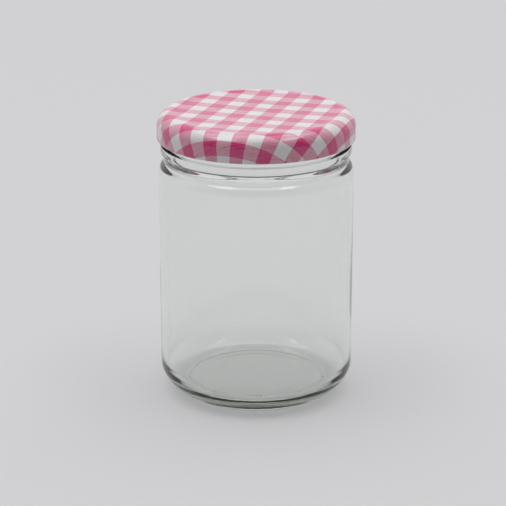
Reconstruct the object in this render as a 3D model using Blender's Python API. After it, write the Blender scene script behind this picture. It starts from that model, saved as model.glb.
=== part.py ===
"""Glass storage jar with a twist-on lid, shut.

A straight tumbler jar of pressed and blown glass, turned about Z and standing on its foot ring at Z = 0.
Its neck carries short slanted thread ridges. A pressed tinplate lid covers the neck, with a curled lower
edge and lugs that pass under the ridges. A ring of sealing compound lies between the glass rim and the lid.
All sizes are in metres.
"""

import math

import bmesh
import bpy
from mathutils import Matrix, Vector

# Driving sizes of the jar
BODY_RADIUS = 0.0419
BODY_WALL = 0.0025
FOOT_INNER_RADIUS = 0.0283
FOOT_OUTER_RADIUS = 0.0303
PUSH_UP = 0.0022
FLOOR_THICKNESS = 0.0036
HEEL_RISE = 0.0120
INNER_HEEL_RUN = 0.0095
INNER_HEEL_RISE = 0.0100
INNER_FLOOR_CROWN = 0.0004

# How full the heel's curve is, where 2 is an ellipse and 1 is a straight slope
HEEL_FULLNESS = 1.6

# The shoulder swells a little past the body, so that jars touch there and not on a label
SHOULDER_START = 0.0940
SHOULDER_WIDEST = 0.0982
SHOULDER_SWELL = 0.00015
SHOULDER_ARC = 0.0083
CREASE_RADIUS = 0.0396
CREASE_HEIGHT = 0.1048
INNER_SHOULDER_TOP = 0.1090
INNER_SHOULDER_FOOT = 0.0975

# Bead under the lid, with how far its edges turn, and a point half way down its sloped underside
BEAD_RADIUS = 0.0409
BEAD_FOOT = 0.1081
BEAD_TOP = 0.1103
BEAD_ROUND = 0.0007
BEAD_UNDER = math.radians(40)
UNDERSIDE_RADIUS = 0.0404
UNDERSIDE_HEIGHT = 0.1066
BEAD_OVER = math.radians(80)

# Neck and rim
NECK_RADIUS = 0.0383
NECK_FOOT = 0.1118
MOUTH_RADIUS = 0.0363
RIM_TOP = 0.1229

# Thread ridges on the neck, one for each lug. A ridge's flank is this share of its height and half width
LUG_COUNT = 6
RIDGE_SPAN = math.radians(48)
RIDGE_HEIGHT = 0.0013
RIDGE_HALF_WIDTH = 0.0011
RIDGE_FLANK_HEIGHT = 0.6
RIDGE_FLANK_WIDTH = 0.8
RIDGE_START = 0.1194
RIDGE_FALL = 0.0022
RIDGE_FADE = 0.0016
RIDGE_FADE_POWER = 4

# Driving sizes of the lid
LID_RADIUS = 0.0425
LID_TOP = 0.1249
LID_FOOT = 0.11335
LID_SHEET = 0.0004
LID_CORNER = 0.0058
CURL_RADIUS = 0.0009
CURL_TURN = math.radians(240)
LUG_TIP_RADIUS = 0.0391
LUG_ROOT_RADIUS = 0.0412
LUG_FOOT = 0.1137
LUG_THICKNESS = 0.0009
LUG_NOSE = 0.0002
LUG_SPAN = math.radians(12)

# Panel of the lid: a low step down inside its edge, and a middle that is a little hollow
PANEL_RADIUS = 0.0364
PANEL_STEP = 0.0032
PANEL_DEPTH = 0.0004
PANEL_HOLLOW = 0.0004

# Sealing compound, clear of the rim and of the lid by the gap
GAP = 0.0003
SEAL_INNER_RADIUS = 0.0362
SEAL_OUTER_RADIUS = 0.0388
SEAL_CHAMFER = 0.0003
SEAL_SLOPE = 0.0016

# Facets round each turned piece, and steps along the curved stretches
TURN_STEPS = 60
DOME_STEPS = 4
HEEL_STEPS = 8
SHOULDER_STEPS = 5
CREASE_STEPS = 3
BEAD_STEPS = 3
RIM_STEPS = 6
INNER_STEPS = 7
CORNER_STEPS = 6
HOLLOW_STEPS = 2
PANEL_STEPS = 3
CURL_STEPS = 8
RIDGE_STEPS = 8
LUG_STEPS = 3

MERGE_DISTANCE = 1e-6
SHARP_ANGLE = math.radians(40)


def clear_scene():
    for thing in list(bpy.data.objects):
        bpy.data.objects.remove(thing, do_unlink=True)


def make_material(name, colour, roughness, metallic=0.0, transmission=0.0, ior=1.45):
    material = bpy.data.materials.new(name)
    material.use_nodes = True
    shader = material.node_tree.nodes["Principled BSDF"]
    shader.inputs["Base Color"].default_value = (*colour, 1.0)
    shader.inputs["Roughness"].default_value = roughness
    shader.inputs["Metallic"].default_value = metallic
    shader.inputs["Transmission Weight"].default_value = transmission
    shader.inputs["IOR"].default_value = ior
    return material


def arc(centre_r, centre_z, radius, start, end, steps):
    """Points (r, z) on a round stretch of a turned profile, angles from +r towards +z."""
    points = []
    for i in range(steps + 1):
        angle = start + (end - start) * i / steps
        points.append((centre_r + radius * math.cos(angle), centre_z + radius * math.sin(angle)))
    return points


def push_up():
    """Underside of the base, a shallow dome inside the foot ring."""
    points = []
    for i in range(DOME_STEPS):
        share = i / DOME_STEPS
        points.append((FOOT_INNER_RADIUS * share, PUSH_UP * (1 - share**2)))
    return points


def outer_heel():
    """From the foot ring up to the straight body."""
    points = []
    run = BODY_RADIUS - FOOT_OUTER_RADIUS
    for i in range(HEEL_STEPS + 1):
        angle = math.pi / 2 * (1 - i / HEEL_STEPS)
        out = max(math.cos(angle), 0.0) ** (2 / HEEL_FULLNESS)
        down = max(math.sin(angle), 0.0) ** (2 / HEEL_FULLNESS)
        points.append((FOOT_OUTER_RADIUS + run * out, HEEL_RISE * (1 - down)))
    return points


def outer_shoulder():
    """From the body over the swell, then in one S to the upright crease under the bead."""
    widest = BODY_RADIUS + SHOULDER_SWELL
    climb = CREASE_HEIGHT - SHOULDER_WIDEST
    tilt = 2 * math.atan((widest - CREASE_RADIUS) / climb)
    hollow = climb / math.sin(tilt) - SHOULDER_ARC
    points = [(BODY_RADIUS, SHOULDER_START)]
    points += arc(widest - SHOULDER_ARC, SHOULDER_WIDEST, SHOULDER_ARC, 0.0, tilt, SHOULDER_STEPS)
    points.pop()
    points += arc(CREASE_RADIUS + hollow, CREASE_HEIGHT, hollow, math.pi + tilt, math.pi, CREASE_STEPS)
    return points


def bead_and_neck():
    """From the crease over the bead, up the neck wall and half way round the rim."""
    middle = BEAD_RADIUS - BEAD_ROUND
    points = [(UNDERSIDE_RADIUS, UNDERSIDE_HEIGHT)]
    points += arc(middle, BEAD_FOOT, BEAD_ROUND, -BEAD_UNDER, 0.0, BEAD_STEPS - 1)
    points += arc(middle, BEAD_TOP, BEAD_ROUND, 0.0, BEAD_OVER, BEAD_STEPS)
    points.append((NECK_RADIUS, NECK_FOOT))
    rim = (NECK_RADIUS - MOUTH_RADIUS) / 2
    points += arc(NECK_RADIUS - rim, RIM_TOP - rim, rim, 0.0, math.pi, RIM_STEPS)
    return points


def inner_shoulder():
    """From the mouth's straight wall out to the inside of the body, one smooth S."""
    points = []
    swing = BODY_RADIUS - BODY_WALL - MOUTH_RADIUS
    drop = INNER_SHOULDER_TOP - INNER_SHOULDER_FOOT
    for i in range(INNER_STEPS + 1):
        share = i / INNER_STEPS
        r = MOUTH_RADIUS + swing * (1 - math.cos(math.pi * share)) / 2
        points.append((r, INNER_SHOULDER_TOP - drop * share))
    return points


def inner_heel_and_floor():
    """From the inside wall round the inner heel and in over the slightly crowned floor."""
    middle = PUSH_UP + FLOOR_THICKNESS
    flat = middle - INNER_FLOOR_CROWN
    inside = BODY_RADIUS - BODY_WALL
    points = []
    for i in range(INNER_STEPS + 1):
        angle = math.pi / 2 * i / INNER_STEPS
        r = inside - INNER_HEEL_RUN * (1 - math.cos(angle))
        points.append((r, flat + INNER_HEEL_RISE * (1 - math.sin(angle))))
    edge = inside - INNER_HEEL_RUN
    for share in (0.5, 0.0):
        points.append((edge * share, middle - INNER_FLOOR_CROWN * share**2))
    return points


def jar_profile():
    return (
        push_up()
        + [(FOOT_INNER_RADIUS, 0.0)]
        + outer_heel()
        + outer_shoulder()
        + bead_and_neck()
        + inner_shoulder()
        + inner_heel_and_floor()
    )


def panel(level):
    """The dished panel from its middle to its edge, which lies at the given level."""
    foot = PANEL_RADIUS - PANEL_STEP
    points = []
    for i in range(HOLLOW_STEPS):
        share = i / HOLLOW_STEPS
        points.append((foot * share, level - PANEL_DEPTH - PANEL_HOLLOW * (1 - share**2)))
    for i in range(PANEL_STEPS + 1):
        share = i / PANEL_STEPS
        drop = PANEL_DEPTH * (1 + math.cos(math.pi * share)) / 2
        points.append((foot + PANEL_STEP * share, level - drop))
    return points


def lid_profile():
    """From the middle of the top over the corner, down the skirt, round the curl and back inside."""
    corner_r = LID_RADIUS - LID_CORNER
    corner_z = LID_TOP - LID_CORNER
    curl_r = LID_RADIUS - CURL_RADIUS
    curl_z = LID_FOOT + CURL_RADIUS
    inner_corner = LID_CORNER - LID_SHEET
    points = panel(LID_TOP)
    points += arc(corner_r, corner_z, LID_CORNER, math.pi / 2, 0.0, CORNER_STEPS)
    points += arc(curl_r, curl_z, CURL_RADIUS, 0.0, -CURL_TURN, CURL_STEPS)
    points.append((LID_RADIUS - LID_SHEET, curl_z + CURL_RADIUS))
    points += arc(corner_r, corner_z, inner_corner, 0.0, math.pi / 2, CORNER_STEPS)
    points += reversed(panel(LID_TOP - LID_SHEET))
    return points


def seal_profile():
    """Closed outline of the compound ring, which slopes away under the lid's corner."""
    foot = RIM_TOP + GAP
    top = LID_TOP - LID_SHEET - GAP
    return [
        (SEAL_INNER_RADIUS + SEAL_CHAMFER, foot),
        (SEAL_OUTER_RADIUS - SEAL_CHAMFER, foot),
        (SEAL_OUTER_RADIUS, foot + SEAL_CHAMFER),
        (SEAL_OUTER_RADIUS, top - SEAL_SLOPE / 2),
        (SEAL_OUTER_RADIUS - SEAL_SLOPE, top),
        (SEAL_INNER_RADIUS, top),
        (SEAL_INNER_RADIUS, foot + SEAL_CHAMFER),
    ]


def add_profile(bm, points, closed):
    """The profile as a chain of edges in the XZ plane."""
    corners = [bm.verts.new((r, 0.0, z)) for r, z in points]
    for first, second in zip(corners, corners[1:]):
        bm.edges.new((first, second))
    if closed:
        bm.edges.new((corners[-1], corners[0]))


def finish_object(bm, name, material):
    """Turns a bmesh into a smooth-shaded object with its faces outwards."""
    bmesh.ops.recalc_face_normals(bm, faces=bm.faces)
    mesh = bpy.data.meshes.new(name)
    bm.to_mesh(mesh)
    bm.free()
    mesh.shade_smooth()
    mesh.set_sharp_from_angle(angle=SHARP_ANGLE)
    mesh.materials.append(material)
    thing = bpy.data.objects.new(name, mesh)
    bpy.context.scene.collection.objects.link(thing)
    return thing


def turn(name, points, material, closed=False):
    """A full turn of a profile about Z, one closed body."""
    bm = bmesh.new()
    add_profile(bm, points, closed)
    bmesh.ops.spin(
        bm,
        geom=bm.verts[:] + bm.edges[:],
        cent=(0.0, 0.0, 0.0),
        axis=(0.0, 0.0, 1.0),
        angle=math.tau,
        steps=TURN_STEPS,
        use_merge=True,
    )
    bmesh.ops.remove_doubles(bm, verts=bm.verts, dist=MERGE_DISTANCE)
    return finish_object(bm, name, material)


def swept(name, section, start, span, steps, fall, material):
    """A section swept round Z through a span from a start angle, falling evenly as it goes."""
    bm = bmesh.new()
    corners = [bm.verts.new((r, 0.0, z)) for r, z in section]
    bm.faces.new(corners)
    bmesh.ops.rotate(bm, verts=bm.verts, cent=(0, 0, 0), matrix=Matrix.Rotation(start, 3, "Z"))
    bmesh.ops.spin(
        bm,
        geom=bm.verts[:] + bm.edges[:] + bm.faces[:],
        cent=(0.0, 0.0, 0.0),
        axis=(0.0, 0.0, 1.0),
        dvec=Vector((0.0, 0.0, -fall / steps)),
        angle=span,
        steps=steps,
        use_merge=False,
    )
    return finish_object(bm, name, material)


def fade_ends(thing, start):
    """Pulls a ridge's ends in towards Z, so that it rises out of the neck and sinks back into it."""
    for vertex in thing.data.vertices:
        radius = math.hypot(vertex.co.x, vertex.co.y)
        turned = math.atan2(vertex.co.y, vertex.co.x) - start
        share = (turned + math.pi) % math.tau - math.pi
        from_middle = 2 * share / RIDGE_SPAN - 1
        pull = RIDGE_FADE * abs(from_middle) ** RIDGE_FADE_POWER
        vertex.co.x *= (radius - pull) / radius
        vertex.co.y *= (radius - pull) / radius


def ridge(index, material):
    """One slanted thread ridge, half sunk in the neck."""
    start = math.tau * index / LUG_COUNT
    root = NECK_RADIUS - RIDGE_HEIGHT
    flank = NECK_RADIUS + RIDGE_HEIGHT * RIDGE_FLANK_HEIGHT
    flank_half = RIDGE_HALF_WIDTH * RIDGE_FLANK_WIDTH
    section = [
        (root, RIDGE_START - RIDGE_HALF_WIDTH),
        (flank, RIDGE_START - flank_half),
        (NECK_RADIUS + RIDGE_HEIGHT, RIDGE_START),
        (flank, RIDGE_START + flank_half),
        (root, RIDGE_START + RIDGE_HALF_WIDTH),
    ]
    thing = swept(f"ridge_{index}", section, start, RIDGE_SPAN, RIDGE_STEPS, RIDGE_FALL, material)
    fade_ends(thing, start)
    return thing


def lug(index, material):
    """One lug, a tongue that runs in from the curl and passes under a ridge."""
    start = math.tau * (index + 0.5) / LUG_COUNT - LUG_SPAN / 2
    top = LUG_FOOT + LUG_THICKNESS
    section = [
        (LUG_TIP_RADIUS + LUG_NOSE, LUG_FOOT),
        (LUG_ROOT_RADIUS, LUG_FOOT),
        (LUG_ROOT_RADIUS, top),
        (LUG_TIP_RADIUS + LUG_NOSE, top),
        (LUG_TIP_RADIUS, (LUG_FOOT + top) / 2),
    ]
    return swept(f"lug_{index}", section, start, LUG_SPAN, LUG_STEPS, 0.0, material)


def join(thing, pieces, name):
    """Unites a piece with a set of smaller solids, which are then only helpers."""
    group = bpy.data.collections.new(name)
    bpy.context.scene.collection.children.link(group)
    for piece in pieces:
        bpy.context.scene.collection.objects.unlink(piece)
        group.objects.link(piece)
        piece.hide_render = True
        piece.display_type = "WIRE"
    union = thing.modifiers.new(name, "BOOLEAN")
    union.operation = "UNION"
    union.operand_type = "COLLECTION"
    union.collection = group
    union.solver = "EXACT"


def build_jar():
    glass = make_material("clear_glass", (0.90, 0.94, 0.91), 0.02, transmission=1.0, ior=1.52)
    jar = turn("jar_glass", jar_profile(), glass)
    join(jar, [ridge(i, glass) for i in range(LUG_COUNT)], "thread_ridges")


def build_lid():
    tinplate = make_material("printed_tinplate", (0.72, 0.16, 0.33), 0.28, metallic=0.2)
    lid = turn("lid", lid_profile(), tinplate)
    join(lid, [lug(i, tinplate) for i in range(LUG_COUNT)], "lugs")


def build_seal():
    compound = make_material("sealing_compound", (0.80, 0.79, 0.76), 0.6)
    turn("sealing_ring", seal_profile(), compound, closed=True)


clear_scene()
build_jar()
build_lid()
build_seal()
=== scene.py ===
"""Finished looks of a shut glass storage jar with a gingham twist-off lid, on a pale studio floor.

The file is laid out as a Blender add-on and run as a script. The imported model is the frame: its three nodes
keep their place and size, and each is replaced by a finer piece of the same form.
"""

import math

import bmesh
import bpy
from bpy.props import FloatProperty, FloatVectorProperty, IntProperty, PointerProperty
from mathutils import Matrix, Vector


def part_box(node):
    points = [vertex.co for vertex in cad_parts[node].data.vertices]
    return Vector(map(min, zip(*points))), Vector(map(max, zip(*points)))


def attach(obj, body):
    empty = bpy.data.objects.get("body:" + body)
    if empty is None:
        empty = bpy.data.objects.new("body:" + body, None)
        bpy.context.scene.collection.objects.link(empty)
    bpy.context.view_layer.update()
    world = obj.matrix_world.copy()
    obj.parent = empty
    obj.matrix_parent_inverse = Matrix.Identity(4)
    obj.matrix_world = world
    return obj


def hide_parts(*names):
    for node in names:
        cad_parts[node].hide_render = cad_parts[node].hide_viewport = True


bl_info = {
    "name": "Glass Storage Jar",
    "version": (1, 0, 0),
    "blender": (4, 5, 0),
    "location": "3D View > Sidebar > Storage Jar",
    "description": "Builds a glass storage jar with its printed lid, its sealing ring and a studio stage",
    "category": "Add Mesh",
}

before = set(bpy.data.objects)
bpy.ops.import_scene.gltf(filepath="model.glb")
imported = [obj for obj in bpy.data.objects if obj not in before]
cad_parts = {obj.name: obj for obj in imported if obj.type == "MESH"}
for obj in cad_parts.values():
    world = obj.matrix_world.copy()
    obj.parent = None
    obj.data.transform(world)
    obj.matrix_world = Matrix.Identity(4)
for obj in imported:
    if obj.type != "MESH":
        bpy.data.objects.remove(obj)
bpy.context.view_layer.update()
_, GLASS_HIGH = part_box("jar_glass")
LID_LOW, LID_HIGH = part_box("lid")
SEAL_LOW, SEAL_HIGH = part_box("sealing_ring")

MILLIMETRE = 0.001
MERGE_DISTANCE = 1e-7
SHARP_ANGLE = math.radians(50)
TOWARDS_BACK = (0.0, 1.0, 0.0)


def linear(code, alpha=1.0):
    """A colour written as an sRGB hex code, in Blender's linear values."""
    channels = [int(code[i : i + 2], 16) / 255 for i in (1, 3, 5)]
    turned = [c / 12.92 if c <= 0.04045 else ((c + 0.055) / 1.055) ** 2.4 for c in channels]
    return (*turned, alpha)


def length(name, description, default):
    """A size in metres that a user may change."""
    return FloatProperty(
        name=name, description=description, default=default, min=0.0, precision=5, unit="LENGTH"
    )


def angle(name, description, degrees):
    """An angle that a user may change."""
    return FloatProperty(name=name, description=description, default=math.radians(degrees), subtype="ANGLE")


def number(name, description, default):
    """A plain number that a user may change."""
    return FloatProperty(name=name, description=description, default=default)


def count(name, description, default):
    """A whole number that a user may change."""
    return IntProperty(name=name, description=description, default=default, min=1)


def vector(name, description, default):
    """A direction that a user may change."""
    return FloatVectorProperty(
        name=name, description=description, default=default, size=3, subtype="DIRECTION"
    )


def colour(name, description, code):
    """A colour that a user may change."""
    return FloatVectorProperty(
        name=name,
        description=description,
        default=linear(code)[:3],
        size=3,
        subtype="COLOR",
        min=0.0,
        max=1.0,
    )


class JarSizes(bpy.types.PropertyGroup):
    """Sizes of the glass."""

    steps: count("Steps", "Facets round the jar", 288)
    body_radius: length("Body radius", "Outside radius of the straight body", 0.0419)
    wall: length("Wall", "Thickness of the body's glass", 0.0025)
    foot_inner: length("Foot inner radius", "Inner edge of the ring that the jar stands on", 0.0291)
    foot_outer: length("Foot outer radius", "Outer edge of the ring that the jar stands on", 0.0303)
    push_up: length("Push-up", "Height of the dome under the base", 0.0007)
    floor: length("Floor", "Thickness of the base over the dome", 0.0051)
    crown: length("Crown", "How much higher the inside floor is in its middle", 0.0004)
    heel_rise: length("Heel rise", "Height of the outer heel", 0.0120)
    heel_fullness: number("Heel fullness", "2 for an elliptic heel, 1 for a straight slope", 1.6)
    inner_heel_run: length("Inner heel run", "Width of the inner heel", 0.0088)
    inner_heel_rise: length("Inner heel rise", "Height of the inner heel", 0.0094)
    swell: length("Swell", "How far the shoulder stands proud of the body", 0.00015)
    swell_start: length("Swell start", "Height where the body starts to swell", 0.0940)
    shoulder_foot: length("Shoulder foot", "Height of the widest part of the shoulder", 0.0982)
    shoulder_round: length("Shoulder radius", "Radius of the shoulder's outer curve", 0.0060)
    crease: length("Crease height", "Height of the narrowest part under the bead", 0.1044)
    crease_radius: length("Crease radius", "Outside radius in the crease", 0.0394)
    bead_radius: length("Bead radius", "Outside radius of the bead under the lid", 0.0409)
    bead_foot: length("Bead foot", "Height of the bead's lower edge", 0.1081)
    bead_top: length("Bead top", "Height of the bead's flat top", 0.1110)
    bead_round: length("Bead's upper edge", "Radius of the bead's upper edge", 0.00035)
    bead_corner: length("Bead's lower edge", "Radius of the bead's lower edge", 0.00025)
    bead_tilt: angle("Bead's tilt", "How far the last of the bead's underside leans from upright", 48)
    underside_radius: length("Underside radius", "Outside radius where the underside steps out", 0.04040)
    underside_height: length("Underside height", "Height of that step", 0.1076)
    underside_hollow: length("Underside hollow", "How far in the underside's curve is drawn", 0.0003)
    underside_rise: length("Underside rise", "How far above the crease the curve is drawn in", 0.0012)
    neck_radius: length("Neck radius", "Outside radius of the threaded neck", 0.0383)
    neck_round: length("Neck foot radius", "Radius between the bead's top and the neck", 0.0003)
    mouth_radius: length("Mouth radius", "Inside radius of the mouth", 0.0363)
    inner_shoulder_top: length("Inner shoulder top", "Height where the mouth starts to widen", 0.1090)
    inner_shoulder_foot: length("Inner shoulder foot", "Height where the inside is full width", 0.0975)
    ridges: count("Ridges", "Thread ridges round the neck", 6)
    ridge_height: length("Ridge height", "How far a thread ridge stands out", 0.0013)
    ridge_half_width: length("Ridge half width", "Half the height of a thread ridge's section", 0.0011)
    ridge_start: length("Ridge start", "Height of a thread ridge's upper end", 0.1194)
    ridge_fall: length("Ridge fall", "How much lower a thread ridge ends", 0.0022)
    ridge_span: angle("Ridge span", "How far a thread ridge runs round the neck", 48)
    ripple: length("Ripple", "Unevenness of the blown inner wall", 0.00005)
    notch: length("Notch", "Depth of the notches in the ring that the jar stands on", 0.00028)
    notch_every: count("Notch every", "How many facets lie from one notch to the next", 3)


class LidSizes(bpy.types.PropertyGroup):
    """Sizes of the lid."""

    steps: count("Steps", "Facets round the lid", 288)
    sheet: length("Sheet", "Thickness of the tinplate", 0.00025)
    corner: length("Corner radius", "Radius between the panel and the skirt", 0.0058)
    panel_radius: length("Panel radius", "Where the panel starts to step down", 0.0364)
    panel_step: length("Panel step", "Width of the step down to the panel", 0.0032)
    panel_depth: length("Panel depth", "How far the panel steps down", 0.0004)
    panel_hollow: length("Panel hollow", "How much lower the panel is in its middle", 0.0004)
    curl: length("Curl radius", "Radius of the rolled lower edge", 0.0009)
    curl_turn: angle("Curl turn", "How far the lower edge is rolled in", 250)
    lugs: count("Lugs", "Lugs round the lid", 6)
    lug_tip: length("Lug tip radius", "How far in a lug reaches", 0.0391)
    lug_span: angle("Lug span", "Width of a lug round the lid", 14)
    lug_press: number("Lug press", "Share of the curl's height that is lost in a lug's middle", 0.45)
    seal_steps: count("Seal steps", "Facets round the sealing ring", 240)
    seal_reach: length("Seal reach", "How far the ring reaches in past the mouth", 0.0001)


class PrintSettings(bpy.types.PropertyGroup):
    """The gingham print, laid out on the flat blank before it is pressed."""

    check: length("Check", "Side of one check", 0.00631)
    turn_across: angle("Turn across", "How far the stripes across the lid are turned", -18.41)
    turn_along: angle("Turn along", "How far the stripes along the lid are turned", -17.42)
    shift_across: length("Shift across", "Where the first stripe across starts", 0.00951)
    shift_along: length("Shift along", "Where the first stripe along starts", 0.01062)
    edge_soft: length("Edge softness", "Width of a stripe's soft edge", 0.00012)
    weft_width: length("Weft width", "Width of the thread lines that run along", 0.00035)
    weft_length: length("Weft length", "Length of those lines", 0.012)
    warp_width: length("Warp width", "Width of the thread lines that run across", 0.0005)
    warp_length: length("Warp length", "Length of those lines", 0.006)
    warp_share: number("Warp share", "How much the lines across show beside the others", 0.4)
    across_ink: number("Across ink", "Ink on the stripes across, as a share", 0.65)
    along_ink: number("Along ink", "Ink on the stripes along, as a share", 0.57)
    solid_ink: number("Solid ink", "Ink where stripes cross, as a share", 0.97)
    solid_streak: number("Solid streak", "How much the thread lines show where stripes cross", 0.5)
    ink: colour("Ink", "Solid pink checks", "#C92970")
    enamel: colour("Enamel", "White base coat", "#D9D5D6")
    lacquer: colour("Lacquer", "Coat inside the lid", "#E4E1D8")
    compound: colour("Compound", "Sealing ring", "#DCD9CF")


class StageSettings(bpy.types.PropertyGroup):
    """Floor, lights and camera."""

    floor_tone: colour("Floor", "Pale opal sheet that the jar stands on", "#8F8F90")
    floor_glow: number("Floor glow", "How brightly the sheet is lit from below", 0.33)
    floor_radius: length("Floor radius", "How far the floor runs", 12.0)
    box_height: length("Softbox height", "Height of the three softboxes over the floor", 4.0)
    box_depth: length("Softbox depth", "Length of the side softboxes from front to back", 1.9)
    box_place: length("Softbox place", "How far forward the side softboxes hang", 0.7)
    left_width: length("Left width", "Width of the left softbox", 1.7)
    left_place: length("Left place", "How far left of the jar the left softbox hangs", 2.0)
    left_power: number("Left power", "Power of the left softbox in watts", 30.0)
    right_width: length("Right width", "Width of the right softbox", 1.2)
    right_place: length("Right place", "How far right of the jar the right softbox hangs", 2.0)
    right_power: number("Right power", "Power of the right softbox in watts", 21.0)
    wide_size: length("Wide size", "Side of the wide softbox overhead", 4.6)
    wide_power: number("Wide power", "Power of the wide softbox in watts", 118.0)
    wide_place: length("Wide place", "How far forward the wide softbox hangs", 0.0)
    wide_above: length("Wide above", "How much higher than the others the wide softbox hangs", 0.05)
    clearance: length("Clearance", "Gap that keeps the floor off the glass's plane", 0.00005)
    tent: number("Tent", "Strength of the light tent behind and beside the jar", 0.755)
    tent_lean: vector("Tent lean", "Towards where the tent is brightest", (-0.14, 0.91, 0.38))
    tent_dark: number("Tent dark", "Where the tent is dark, as a cosine from its brightest place", -0.40)
    tent_bright: number("Tent bright", "Where the tent is fully bright, as a cosine", 0.62)
    front_dark: number("Front dark", "Where the camera's side is dark, as a cosine towards the back", -0.40)
    front_bright: number("Front bright", "Where the camera's side is no longer dark, as a cosine", 0.10)
    room: number("Room", "Strength of the even light of the room", 0.035)
    camera_distance: length("Camera distance", "From the camera to the point it looks at", 0.850)
    camera_pitch: angle("Camera pitch", "How far the camera looks down", 18.88)
    aim_height: length("Aim height", "Height on the jar's axis that the camera looks at", 0.06108)
    focal_pixels: number("Focal length in pixels", "In pixels of the picture", 1952.4)
    picture: count("Picture", "Width of the picture in pixels", 506)
    sensor: number("Sensor", "Width of the camera's sensor in millimetres", 36.0)
    axis_pixel: number("Axis pixel", "Column of the picture that the jar's axis stands in", 256.2)


def add_node(owner, kind, settings=None, links=None, place=(0, 0)):
    """Adds one node to a material or a world, with its settings and the sockets that feed it.

    A setting's key is an input's name or number, or an attribute's name after a dot.
    """
    node = owner.node_tree.nodes.new(kind)
    node.location = place
    for key, value in (settings or {}).items():
        if isinstance(key, str) and key.startswith("."):
            setattr(node, key[1:], value)
        else:
            node.inputs[key].default_value = value
    for key, socket in (links or {}).items():
        owner.node_tree.links.new(socket, node.inputs[key])
    return node


def start_material(name):
    """A new material with an empty node tree."""
    material = bpy.data.materials.new(name)
    material.use_nodes = True
    material.node_tree.nodes.clear()
    return material


def finish_material(material, surface, volume=None):
    """Joins the surface, and a volume where there is one, to the output."""
    output = add_node(material, "ShaderNodeOutputMaterial", links={"Surface": surface}, place=(600, 0))
    if volume is not None:
        material.node_tree.links.new(volume, output.inputs["Volume"])
    return material


def clear_glass():
    """Soda-lime container glass, blown in a mould and fire-polished: very clear, greenish only in depth."""
    material = start_material("clear_soda_lime_glass")
    where = add_node(material, "ShaderNodeTexCoord", place=(-900, 0))
    stretch = add_node(
        material,
        "ShaderNodeMapping",
        {"Scale": (1.0, 1.0, 0.35)},
        {"Vector": where.outputs["Object"]},
        (-700, 0),
    )
    # Slow ripple left by the mould, about 18 mm from crest to crest
    ripple = add_node(
        material,
        "ShaderNodeTexNoise",
        {"Scale": 1 / (18 * MILLIMETRE), "Detail": 1.0, "Roughness": 0.4},
        {"Vector": stretch.outputs["Vector"]},
        (-500, 0),
    )
    bump = add_node(
        material,
        "ShaderNodeBump",
        {"Strength": 0.25, "Distance": 0.03 * MILLIMETRE},
        {"Height": ripple.outputs["Fac"]},
        (-300, 0),
    )
    shader = add_node(
        material,
        "ShaderNodeBsdfPrincipled",
        {
            "Base Color": linear("#FEFFFE"),
            "Roughness": 0.0,
            "IOR": 1.52,
            "Transmission Weight": 1.0,
        },
        {"Normal": bump.outputs["Normal"]},
        (0, 0),
    )
    # What a metre of this glass takes out: more red and blue than green
    depth = add_node(
        material,
        "ShaderNodeVolumeAbsorption",
        {"Color": (0.40, 0.46, 0.34, 1.0), "Density": 16.0},
        place=(0, -300),
    )
    return finish_material(material, shader.outputs[0], depth.outputs[0])


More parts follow.
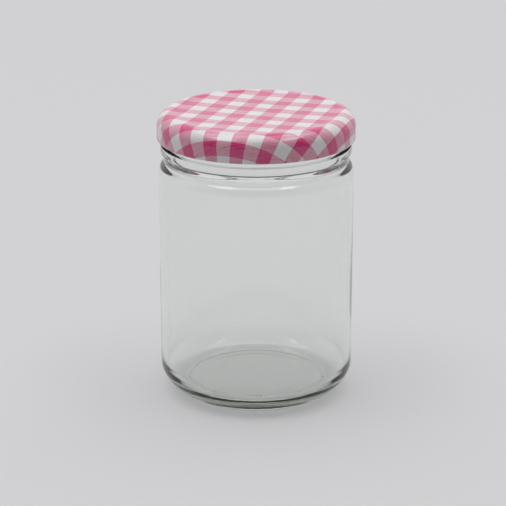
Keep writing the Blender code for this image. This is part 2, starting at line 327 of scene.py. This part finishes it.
def printed_tinplate(settings):
    """Tinplate with a white base coat, pink gingham ink and gloss varnish, printed flat and then pressed."""
    material = start_material("printed_tinplate")
    blank = add_node(material, "ShaderNodeUVMap", {".uv_map": "blank"}, place=(-2400, 0))

    def arithmetic(operation, *terms, place=(0, 0), clamp=False):
        """One step of arithmetic on plain numbers and on sockets."""
        values = {".operation": operation, ".use_clamp": clamp}
        feeds = {}
        for index, term in enumerate(terms):
            if isinstance(term, (int, float)):
                values[index] = term
            else:
                feeds[index] = term
        return add_node(material, "ShaderNodeMath", values, feeds, place).outputs[0]

    def stripes(turn, shift, axis, y):
        """1 on the inked stripes of one direction and 0 between them, with soft edges."""
        turned = add_node(
            material,
            "ShaderNodeVectorRotate",
            {".rotation_type": "Z_AXIS", "Angle": -turn},
            {"Vector": blank.outputs["UV"]},
            (-2200, y),
        )
        split = add_node(
            material, "ShaderNodeSeparateXYZ", links={"Vector": turned.outputs["Vector"]}, place=(-2000, y)
        )
        pair = 2 * settings.check
        pairs = arithmetic("MULTIPLY_ADD", split.outputs[axis], 1 / pair, shift / pair, place=(-1800, y))
        part = arithmetic("FRACT", pairs, place=(-1650, y))
        centred = arithmetic("SUBTRACT", part, 0.25, place=(-1500, y))
        folded = arithmetic("PINGPONG", centred, 0.5, place=(-1350, y))
        height = arithmetic("SUBTRACT", 0.25, folded, place=(-1200, y))
        edge = arithmetic("DIVIDE", height, settings.edge_soft / pair, place=(-1050, y))
        return arithmetic("ADD", edge, 0.5, place=(-900, y), clamp=True)

    def threads(step_x, step_y, turn, y):
        """Fine lines of one direction, as uneven tone about zero."""
        turned = add_node(
            material,
            "ShaderNodeMapping",
            {"Rotation": (0.0, 0.0, -turn), "Scale": (1 / step_x, 1 / step_y, 1.0)},
            {"Vector": blank.outputs["UV"]},
            (-2200, y),
        )
        noise = add_node(
            material,
            "ShaderNodeTexNoise",
            {"Scale": 1.0, "Detail": 2.0, "Roughness": 0.55},
            {"Vector": turned.outputs["Vector"]},
            (-2000, y),
        )
        return arithmetic("SUBTRACT", noise.outputs["Fac"], 0.5, place=(-700, y))

    across = stripes(settings.turn_across, settings.shift_across, "X", 300)
    along = stripes(settings.turn_along, settings.shift_along, "Y", -300)
    both = arithmetic("MULTIPLY", across, along, place=(-700, 0))

    # The print copies woven cloth. Its weft shows most, as long thin lines, darker and paler by turns
    weft = threads(settings.weft_length, settings.weft_width, settings.turn_along, -900)
    warp = threads(settings.warp_width, settings.warp_length, settings.turn_across, -1200)
    streak = arithmetic("MULTIPLY_ADD", warp, settings.warp_share, weft, place=(-550, -900))

    def inked(where, depth, streak_share, y):
        """Ink laid on one kind of check, uneven with the thread lines."""
        uneven = arithmetic("MULTIPLY_ADD", streak, streak_share, depth, place=(-400, y - 700), clamp=True)
        return arithmetic("MULTIPLY", where, uneven, place=(-400, y))

    across_alone = arithmetic("SUBTRACT", across, both, place=(-700, -100))
    along_alone = arithmetic("SUBTRACT", along, both, place=(-700, -200))
    across_ink = inked(across_alone, settings.across_ink, 1.0, -100)
    along_ink = inked(along_alone, settings.along_ink, 1.0, -200)
    solid_ink = inked(both, settings.solid_ink, settings.solid_streak, 50)
    half_ink = arithmetic("ADD", across_ink, along_ink, place=(-300, -150))
    ink = arithmetic("ADD", half_ink, solid_ink, place=(-250, 0), clamp=True)

    colour_mix = add_node(
        material,
        "ShaderNodeMix",
        {".data_type": "RGBA", 6: (*settings.enamel, 1.0), 7: (*settings.ink, 1.0)},
        {0: ink},
        (-50, 0),
    )
    # Varnish flows out a little uneven, about 2.5 mm from crest to crest
    peel = add_node(
        material,
        "ShaderNodeTexNoise",
        {"Scale": 1 / (2.5 * MILLIMETRE), "Detail": 2.0, "Roughness": 0.5},
        {"Vector": blank.outputs["UV"]},
        (-400, -400),
    )
    bump = add_node(
        material,
        "ShaderNodeBump",
        {"Strength": 0.2, "Distance": 0.004 * MILLIMETRE},
        {"Height": peel.outputs["Fac"]},
        (-200, -400),
    )
    shader = add_node(
        material,
        "ShaderNodeBsdfPrincipled",
        {
            "Roughness": 0.5,
            "Specular IOR Level": 0.2,
            "Coat Weight": 1.0,
            "Coat Roughness": 0.06,
            "Coat IOR": 1.48,
        },
        {
            "Base Color": colour_mix.outputs[2],
            "Coat Normal": bump.outputs["Normal"],
        },
        (200, 0),
    )
    return finish_material(material, shader.outputs[0])


def lacquered_tinplate(settings):
    """Food-safe pale enamel inside the lid, baked on the sheet before pressing: even, with a low gloss."""
    material = start_material("lacquered_tinplate")
    where = add_node(material, "ShaderNodeTexCoord", place=(-700, 0))
    # Roller marks about a millimetre apart
    marks = add_node(
        material,
        "ShaderNodeTexNoise",
        {"Scale": 1 / MILLIMETRE, "Detail": 2.0},
        {"Vector": where.outputs["Object"]},
        (-500, 0),
    )
    rough = add_node(
        material,
        "ShaderNodeMapRange",
        {"To Min": 0.26, "To Max": 0.4},
        {"Value": marks.outputs["Fac"]},
        (-300, 0),
    )
    shader = add_node(
        material,
        "ShaderNodeBsdfPrincipled",
        {"Base Color": (*settings.lacquer, 1.0)},
        {"Roughness": rough.outputs["Result"]},
        (0, 0),
    )
    return finish_material(material, shader.outputs[0])


def sealing_compound(settings):
    """PVC sealing compound, flowed in as a paste and cured: soft, satin, with a fine skin."""
    material = start_material("sealing_compound")
    where = add_node(material, "ShaderNodeTexCoord", place=(-700, 0))
    skin = add_node(
        material,
        "ShaderNodeTexNoise",
        {"Scale": 1 / (0.8 * MILLIMETRE), "Detail": 3.0},
        {"Vector": where.outputs["Object"]},
        (-500, 0),
    )
    bump = add_node(
        material,
        "ShaderNodeBump",
        {"Strength": 0.4, "Distance": 0.02 * MILLIMETRE},
        {"Height": skin.outputs["Fac"]},
        (-250, -150),
    )
    tone = add_node(
        material,
        "ShaderNodeMapRange",
        {"To Min": 0.45, "To Max": 0.6},
        {"Value": skin.outputs["Fac"]},
        (-250, 50),
    )
    shader = add_node(
        material,
        "ShaderNodeBsdfPrincipled",
        {"Base Color": (*settings.compound, 1.0), "IOR": 1.5},
        {"Roughness": tone.outputs["Result"], "Normal": bump.outputs["Normal"]},
        (0, 0),
    )
    return finish_material(material, shader.outputs[0])


def opal_sheet(settings):
    """Opal acrylic sheet with a matt face, lit softly from below as on a light table: hardly any shadow."""
    material = start_material("lit_opal_sheet")
    where = add_node(material, "ShaderNodeTexCoord", place=(-700, 0))
    grain = add_node(
        material,
        "ShaderNodeTexNoise",
        {"Scale": 1 / (4 * MILLIMETRE), "Detail": 3.0},
        {"Vector": where.outputs["Object"]},
        (-500, 0),
    )
    shade = add_node(
        material,
        "ShaderNodeMapRange",
        {"To Min": 0.99, "To Max": 1.01},
        {"Value": grain.outputs["Fac"]},
        (-300, 0),
    )
    tone = add_node(
        material,
        "ShaderNodeMix",
        {".data_type": "RGBA", ".blend_type": "MULTIPLY", 0: 1.0, 6: (*settings.floor_tone, 1.0)},
        {7: shade.outputs["Result"]},
        (-100, 0),
    )
    shader = add_node(
        material,
        "ShaderNodeBsdfPrincipled",
        {
            "Roughness": 0.85,
            "Specular IOR Level": 0.2,
            "Emission Color": linear("#FCFCFE"),
            "Emission Strength": settings.floor_glow,
        },
        {"Base Color": tone.outputs[2]},
        (100, 0),
    )
    material.cycles.emission_sampling = "NONE"
    return finish_material(material, shader.outputs[0])


def arc(centre_r, centre_z, radius, start, end, steps):
    """Points (r, z) on a round stretch of a turned profile, angles from +r towards +z."""
    points = []
    for i in range(steps + 1):
        turned = start + (end - start) * i / steps
        points.append((centre_r + radius * math.cos(turned), centre_z + radius * math.sin(turned)))
    return points


def straight(start, end, steps):
    """Points after the start, up to and with the end, of a straight stretch."""
    return [
        (start[0] + (end[0] - start[0]) * i / steps, start[1] + (end[1] - start[1]) * i / steps)
        for i in range(1, steps + 1)
    ]


def eased(start, through, end, steps):
    """Points after the start of a smooth curve that runs by a middle point to the end."""
    points = []
    for i in range(1, steps + 1):
        share = i / steps
        weights = ((1 - share) ** 2, 2 * share * (1 - share), share**2)
        points.append(
            tuple(sum(w * p[axis] for w, p in zip(weights, (start, through, end))) for axis in (0, 1))
        )
    return points


def without_repeats(points):
    """The points with any that stand on the one before left out."""
    kept = [points[0]]
    for point in points[1:]:
        if math.dist(point, kept[-1]) > MERGE_DISTANCE * 10:
            kept.append(point)
    return kept


def underside(jar):
    """The domed underside and the ring that the jar stands on, from the middle outwards."""
    points = []
    for i in range(12):
        share = i / 12
        points.append((jar.foot_inner * share, jar.push_up * (1 - share**2)))
    points.append((jar.foot_inner, 0.0))
    return points + straight((jar.foot_inner, 0.0), (jar.foot_outer, 0.0), 4)


def outer_heel(jar):
    """The heel, from the standing ring out to the body."""
    points = []
    run = jar.body_radius - jar.foot_outer
    for i in range(1, 29):
        turned = math.pi / 2 * (1 - i / 28)
        out = max(math.cos(turned), 0.0) ** (2 / jar.heel_fullness)
        down = max(math.sin(turned), 0.0) ** (2 / jar.heel_fullness)
        points.append((jar.foot_outer + run * out, jar.heel_rise * (1 - down)))
    return points


def body_and_shoulder(jar, start):
    """The straight body, the swell of the shoulder and the S that leads into the crease."""
    points = straight(start, (jar.body_radius, jar.swell_start), 20)
    rise = jar.shoulder_foot - jar.swell_start
    for i in range(1, 9):
        share = i / 8
        ease = share * share * (3 - 2 * share)
        points.append((jar.body_radius + jar.swell * ease, jar.swell_start + rise * share))
    widest = jar.body_radius + jar.swell
    drop = widest - jar.crease_radius
    climb = jar.crease - jar.shoulder_foot
    tilt = 2 * math.atan(drop / climb)
    hollow = climb / math.sin(tilt) - jar.shoulder_round
    points += arc(widest - jar.shoulder_round, jar.shoulder_foot, jar.shoulder_round, 0.0, tilt, 20)
    points += arc(jar.crease_radius + hollow, jar.crease, hollow, math.pi + tilt, math.pi, 10)
    return points


def bead(jar, start):
    """The bead, from the crease under it over its flat top to the foot of the neck."""
    # The underside leans gently, so that it stays clear to look through, and ends in a fine step
    step = (jar.underside_radius, jar.underside_height)
    halfway = (jar.crease_radius + jar.underside_radius) / 2
    through = (halfway - jar.underside_hollow, jar.crease + jar.underside_rise)
    points = eased(start, through, step, 10)
    low_r = jar.bead_radius - jar.bead_corner
    points += arc(low_r, jar.bead_foot, jar.bead_corner, -jar.bead_tilt, 0.0, 6)
    high_r = jar.bead_radius - jar.bead_round
    high_z = jar.bead_top - jar.bead_round
    points += straight(points[-1], (jar.bead_radius, high_z), 4)
    points += arc(high_r, high_z, jar.bead_round, 0.0, math.pi / 2, 8)
    foot_r = jar.neck_radius + jar.neck_round
    points += straight(points[-1], (foot_r, jar.bead_top), 3)
    points += arc(foot_r, jar.bead_top + jar.neck_round, jar.neck_round, -math.pi / 2, -math.pi, 6)
    return points


def neck_and_rim(jar, start):
    """The neck, still without its thread ridges, and the half-round rim."""
    rim = (jar.neck_radius - jar.mouth_radius) / 2
    rim_z = GLASS_HIGH.z - rim
    points = straight(start, (jar.neck_radius, rim_z), 32)
    return points + arc(jar.neck_radius - rim, rim_z, rim, 0.0, math.pi, 14)


def inner_face(jar, start):
    """The inside, from the rim down the mouth and the body to the middle of the floor."""
    points = straight(start, (jar.mouth_radius, jar.inner_shoulder_top), 8)
    inside = jar.body_radius - jar.wall
    for i in range(1, 25):
        share = i / 24
        r = jar.mouth_radius + (inside - jar.mouth_radius) * (1 - math.cos(math.pi * share)) / 2
        z = jar.inner_shoulder_top + (jar.inner_shoulder_foot - jar.inner_shoulder_top) * share
        points.append((r, z))
    middle_z = jar.push_up + jar.floor
    flat = middle_z - jar.crown
    points += straight(points[-1], (inside, flat + jar.inner_heel_rise), 30)
    for i in range(1, 25):
        turned = math.pi / 2 * i / 24
        r = inside - jar.inner_heel_run * (1 - math.cos(turned))
        points.append((r, flat + jar.inner_heel_rise * (1 - math.sin(turned))))
    edge = inside - jar.inner_heel_run
    for i in range(11, -1, -1):
        share = i / 12
        points.append((edge * share, middle_z - jar.crown * share**2))
    return points


def glass_profile(jar):
    """The jar's section, from the middle of the underside over the rim to the middle of the floor."""
    points = underside(jar) + outer_heel(jar)
    for stretch in (body_and_shoulder, bead, neck_and_rim, inner_face):
        points += stretch(jar, points[-1])
    return without_repeats(points)


def panel(lid, level):
    """The dished panel from its middle to its edge, which lies at the given level."""
    foot = lid.panel_radius - lid.panel_step
    points = []
    for i in range(20):
        share = i / 20
        points.append((foot * share, level - lid.panel_depth - lid.panel_hollow * (1 - share**2)))
    for i in range(13):
        share = i / 12
        drop = lid.panel_depth * (1 + math.cos(math.pi * share)) / 2
        points.append((foot + lid.panel_step * share, level - drop))
    return points


def lid_outside(lid):
    """The lid's outer face, from the middle of the panel to the end of the curl inside."""
    radius = LID_HIGH.x
    corner_r = radius - lid.corner
    corner_z = LID_HIGH.z - lid.corner
    points = panel(lid, LID_HIGH.z)
    points += arc(corner_r, corner_z, lid.corner, math.pi / 2, 0.0, 24)
    points += straight(points[-1], (radius, LID_LOW.z + lid.curl), 10)
    points += arc(radius - lid.curl, LID_LOW.z + lid.curl, lid.curl, 0.0, -lid.curl_turn, 24)
    return without_repeats(points)


def lid_inside(lid):
    """The lid's inner face, from the top of the curl back to the middle of the panel."""
    radius = LID_HIGH.x
    corner_r = radius - lid.corner
    corner_z = LID_HIGH.z - lid.corner
    inside = radius - lid.sheet
    points = [(inside, LID_LOW.z + 2 * lid.curl)]
    points += straight(points[-1], (inside, corner_z), 6)
    points += arc(corner_r, corner_z, lid.corner - lid.sheet, 0.0, math.pi / 2, 20)
    points += reversed(panel(lid, LID_HIGH.z - lid.sheet))
    return without_repeats(points)


def turned_mesh(points, steps, closed=False):
    """A profile turned all the way round Z, with how far along the profile each point lies."""
    shape = bmesh.new()
    along = shape.verts.layers.float.new("along")
    corners = []
    travelled = 0.0
    for index, (r, z) in enumerate(points):
        if index:
            travelled += math.dist(points[index - 1], points[index])
        corner = shape.verts.new((r, 0.0, z))
        corner[along] = travelled
        corners.append(corner)
    for first, second in zip(corners, corners[1:]):
        shape.edges.new((first, second))
    if closed:
        shape.edges.new((corners[-1], corners[0]))
    bmesh.ops.spin(
        shape,
        geom=shape.verts[:] + shape.edges[:],
        cent=(0.0, 0.0, 0.0),
        axis=(0.0, 0.0, 1.0),
        angle=math.tau,
        steps=steps,
        use_merge=True,
    )
    bmesh.ops.remove_doubles(shape, verts=shape.verts, dist=MERGE_DISTANCE)
    bmesh.ops.recalc_face_normals(shape, faces=shape.faces)
    return shape, along


def finish_piece(shape, name, materials, node):
    """Makes the shape an object at the origin that rides on the root, and hides the node in whose place it
    stands.
    """
    mesh = bpy.data.meshes.new(name)
    shape.to_mesh(mesh)
    shape.free()
    mesh.shade_smooth()
    mesh.set_sharp_from_angle(angle=SHARP_ANGLE)
    for material in materials:
        mesh.materials.append(material)
    piece = bpy.data.objects.new(name, mesh)
    bpy.context.scene.collection.objects.link(piece)
    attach(piece, "root")
    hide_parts(node)


def move_out(vertex, distance):
    """Moves a vertex away from the axis, or towards it where the distance is negative."""
    radius = math.hypot(vertex.co.x, vertex.co.y)
    vertex.co.x *= (radius + distance) / radius
    vertex.co.y *= (radius + distance) / radius


def thread_height(jar, turned, z):
    """How far the neck stands out at this angle and height, for the slanted ridges."""
    pitch = math.tau / jar.ridges
    place = turned % pitch
    if place > jar.ridge_span:
        return 0.0
    share = place / jar.ridge_span
    middle = jar.ridge_start - jar.ridge_fall * share
    off = abs(z - middle) / jar.ridge_half_width
    if off >= 1.0:
        return 0.0
    fade = 1 - abs(2 * share - 1) ** 4
    return jar.ridge_height * fade * (1 + math.cos(math.pi * off)) / 2


def wall_wave(turned, z):
    """Unevenness of the blown inner wall at this angle and height: a slow wave and a faster, weaker one."""
    slow = math.sin(2 * turned + 1.1 + 24 * z)
    fast = math.sin(5 * turned - 60 * z)
    return slow + 0.6 * fast


class STORAGEJAR_OT_glass(bpy.types.Operator):
    """Build the blown glass with its foot ring, heel, shoulder, bead and threaded neck"""

    bl_idname = "storagejar.glass"
    bl_label = "Glass"

    def execute(self, context):
        jar = context.scene.jar_sizes
        shape, _ = turned_mesh(glass_profile(jar), jar.steps)
        inside = jar.body_radius - jar.wall
        low = jar.push_up + jar.floor + jar.inner_heel_rise
        span = jar.inner_shoulder_foot - low
        hair = MERGE_DISTANCE * 100
        for vertex in shape.verts:
            r = math.hypot(vertex.co.x, vertex.co.y)
            z = vertex.co.z
            turned = math.atan2(vertex.co.y, vertex.co.x) % math.tau
            if z < MERGE_DISTANCE and jar.foot_inner < r < jar.foot_outer:
                # Notches across the standing ring
                if round(turned / math.tau * jar.steps) % jar.notch_every == 0:
                    vertex.co.z += jar.notch
            elif abs(r - inside) < hair and 0 < z - low < span:
                fade = math.sin(math.pi * (z - low) / span)
                move_out(vertex, jar.ripple * fade * wall_wave(turned, z))
            elif z > jar.bead_top + jar.neck_round and r > jar.neck_radius - hair:
                rise = thread_height(jar, turned, z)
                if rise > 0.0:
                    move_out(vertex, rise)
        finish_piece(shape, "blown_glass", [clear_glass()], "jar_glass")
        return {"FINISHED"}


class STORAGEJAR_OT_lid(bpy.types.Operator):
    """Build the pressed lid with its print, curl and lugs"""

    bl_idname = "storagejar.lid"
    bl_label = "Lid"

    def execute(self, context):
        lid = context.scene.lid_sizes
        prints = context.scene.print_settings
        outside = lid_outside(lid)
        points = without_repeats(outside + lid_inside(lid))
        shape, along = turned_mesh(points, lid.steps)
        printed_end = sum(math.dist(a, b) for a, b in zip(outside, outside[1:]))
        blank = shape.loops.layers.uv.new("blank")
        for face in shape.faces:
            middle = sum(vertex[along] for vertex in face.verts) / len(face.verts)
            face.material_index = 0 if middle < printed_end else 1
            for loop in face.loops:
                turned = math.atan2(loop.vert.co.y, loop.vert.co.x)
                reach = loop.vert[along]
                loop[blank].uv = (reach * math.cos(turned), reach * math.sin(turned))
        curl_middle = LID_HIGH.x - lid.curl
        reach = curl_middle - lid.curl - lid.lug_tip
        for vertex in shape.verts:
            r = math.hypot(vertex.co.x, vertex.co.y)
            if vertex.co.z > LID_LOW.z + 2 * lid.curl + MERGE_DISTANCE or r > curl_middle:
                continue
            turned = math.atan2(vertex.co.y, vertex.co.x)
            place = (turned % (math.tau / lid.lugs)) - math.pi / lid.lugs
            edge = abs(place) / (lid.lug_span / 2)
            if edge < 1.0:
                weight = (1 + math.cos(math.pi * edge)) / 2
                share = (curl_middle - r) / lid.curl
                move_out(vertex, -reach * share * weight)
                vertex.co.z = LID_LOW.z + (vertex.co.z - LID_LOW.z) * (1 - lid.lug_press * weight)
        sheet = [printed_tinplate(prints), lacquered_tinplate(prints)]
        finish_piece(shape, "pressed_lid", sheet, "lid")
        return {"FINISHED"}


class STORAGEJAR_OT_seal(bpy.types.Operator):
    """Build the ring of sealing compound between the rim and the lid"""

    bl_idname = "storagejar.seal"
    bl_label = "Sealing ring"

    def execute(self, context):
        prints = context.scene.print_settings
        lid = context.scene.lid_sizes
        half = (SEAL_HIGH.z - SEAL_LOW.z) / 2
        outer = SEAL_HIGH.x
        inner = context.scene.jar_sizes.mouth_radius - lid.seal_reach
        centre = SEAL_LOW.z + half
        points = arc(outer - half, centre, half, -math.pi / 2, math.pi / 2, 12)
        points += arc(inner + half, centre, half, math.pi / 2, math.pi * 1.5, 12)
        shape, _ = turned_mesh(without_repeats(points), lid.seal_steps, closed=True)
        finish_piece(shape, "compound_ring", [sealing_compound(prints)], "sealing_ring")
        return {"FINISHED"}


def add_softbox(name, place, width, depth, power):
    """Hangs a rectangular area light that faces straight down."""
    lamp = bpy.data.lights.new(name, "AREA")
    lamp.shape = "RECTANGLE"
    lamp.size = width
    lamp.size_y = depth
    lamp.energy = power
    light = bpy.data.objects.new(name, lamp)
    light.location = place
    bpy.context.scene.collection.objects.link(light)


def light_tent(stage):
    """Returns a world that is bright behind and beside the jar and dark on the camera's side."""
    world = bpy.data.worlds.new("light_tent")
    world.use_nodes = True
    world.node_tree.nodes.clear()
    where = add_node(world, "ShaderNodeTexCoord", place=(-800, 0))
    shares = []
    reaches = (
        (stage.tent_lean, stage.tent_dark, stage.tent_bright, 150),
        (TOWARDS_BACK, stage.front_dark, stage.front_bright, -150),
    )
    for lean, dark, bright, y in reaches:
        facing = add_node(
            world,
            "ShaderNodeVectorMath",
            {".operation": "DOT_PRODUCT", 1: Vector(lean).normalized()},
            {0: where.outputs["Generated"]},
            (-600, y),
        )
        share = add_node(
            world,
            "ShaderNodeMapRange",
            {".interpolation_type": "SMOOTHSTEP", "From Min": dark, "From Max": bright},
            {"Value": facing.outputs["Value"]},
            (-400, y),
        )
        shares.append(share.outputs["Result"])
    both = add_node(
        world, "ShaderNodeMath", {".operation": "MULTIPLY"}, {0: shares[0], 1: shares[1]}, (-200, 0)
    )
    strength = add_node(
        world,
        "ShaderNodeMath",
        {".operation": "MULTIPLY_ADD", 1: stage.tent, 2: stage.room},
        {0: both.outputs[0]},
        (0, 0),
    )
    light = add_node(
        world,
        "ShaderNodeBackground",
        {"Color": linear("#FBFBFD")},
        {"Strength": strength.outputs[0]},
        (200, 0),
    )
    add_node(world, "ShaderNodeOutputWorld", links={"Surface": light.outputs[0]}, place=(400, 0))
    return world


class STORAGEJAR_OT_stage(bpy.types.Operator):
    """Build the pale floor, the soft lights and the camera"""

    bl_idname = "storagejar.stage"
    bl_label = "Stage"

    def execute(self, context):
        stage = context.scene.stage_settings
        scene = context.scene
        shape = bmesh.new()
        bmesh.ops.create_circle(shape, cap_ends=True, segments=128, radius=stage.floor_radius)
        bmesh.ops.translate(shape, verts=shape.verts, vec=(0.0, 0.0, -stage.clearance))
        mesh = bpy.data.meshes.new("studio_floor")
        shape.to_mesh(mesh)
        shape.free()
        mesh.materials.append(opal_sheet(stage))
        floor = bpy.data.objects.new("studio_floor", mesh)
        scene.collection.objects.link(floor)

        high = stage.box_height
        depth = stage.box_depth
        left = (-stage.left_place, -stage.box_place, high)
        right = (stage.right_place, -stage.box_place, high)
        over = (0.0, -stage.wide_place, high + stage.wide_above)
        add_softbox("left_softbox", left, stage.left_width, depth, stage.left_power)
        add_softbox("right_softbox", right, stage.right_width, depth, stage.right_power)
        add_softbox("wide_softbox", over, stage.wide_size, stage.wide_size, stage.wide_power)
        scene.world = light_tent(stage)

        camera = bpy.data.cameras.new("camera")
        camera.sensor_width = stage.sensor
        camera.lens = stage.focal_pixels / stage.picture * stage.sensor
        camera.shift_x = -(stage.axis_pixel - stage.picture / 2) / stage.picture
        camera.clip_start = 0.01
        camera.clip_end = 20.0
        rig = bpy.data.objects.new("camera", camera)
        aim = Vector((0.0, 0.0, stage.aim_height))
        back = Vector((0.0, -math.cos(stage.camera_pitch), math.sin(stage.camera_pitch)))
        rig.location = aim + back * stage.camera_distance
        rig.rotation_euler = (aim - rig.location).to_track_quat("-Z", "Y").to_euler()
        scene.collection.objects.link(rig)
        scene.camera = rig

        scene.view_settings.view_transform = "Standard"
        scene.view_settings.look = "None"
        # Light crosses many glass faces here, some of them by reflection inside the glass
        scene.cycles.max_bounces = 24
        scene.cycles.transmission_bounces = 20
        scene.cycles.glossy_bounces = 12
        return {"FINISHED"}


class STORAGEJAR_PT_sidebar(bpy.types.Panel):
    """Lists what the jar is built from"""

    bl_idname = "STORAGEJAR_PT_sidebar"
    bl_label = "Storage Jar"
    bl_space_type = "VIEW_3D"
    bl_region_type = "UI"
    bl_category = "Storage Jar"

    def draw(self, context):
        layout = self.layout
        for operator in OPERATORS:
            layout.operator(operator.bl_idname)
        for owner, (_, title) in GROUPS.items():
            settings = getattr(context.scene, owner)
            box = layout.box()
            box.label(text=title)
            for key in settings.__annotations__:
                box.prop(settings, key)


GROUPS = {
    "jar_sizes": (JarSizes, "Glass"),
    "lid_sizes": (LidSizes, "Lid"),
    "print_settings": (PrintSettings, "Print"),
    "stage_settings": (StageSettings, "Stage"),
}
OPERATORS = (STORAGEJAR_OT_glass, STORAGEJAR_OT_lid, STORAGEJAR_OT_seal, STORAGEJAR_OT_stage)


def register():
    for name, (group, _) in GROUPS.items():
        bpy.utils.register_class(group)
        setattr(bpy.types.Scene, name, PointerProperty(type=group))
    for operator in OPERATORS:
        bpy.utils.register_class(operator)
    bpy.utils.register_class(STORAGEJAR_PT_sidebar)


def unregister():
    bpy.utils.unregister_class(STORAGEJAR_PT_sidebar)
    for operator in reversed(OPERATORS):
        bpy.utils.unregister_class(operator)
    for name, (group, _) in GROUPS.items():
        delattr(bpy.types.Scene, name)
        bpy.utils.unregister_class(group)


def main():
    register()
    bpy.ops.storagejar.glass()
    bpy.ops.storagejar.lid()
    bpy.ops.storagejar.seal()
    bpy.ops.storagejar.stage()


if __name__ == "__main__":
    main()
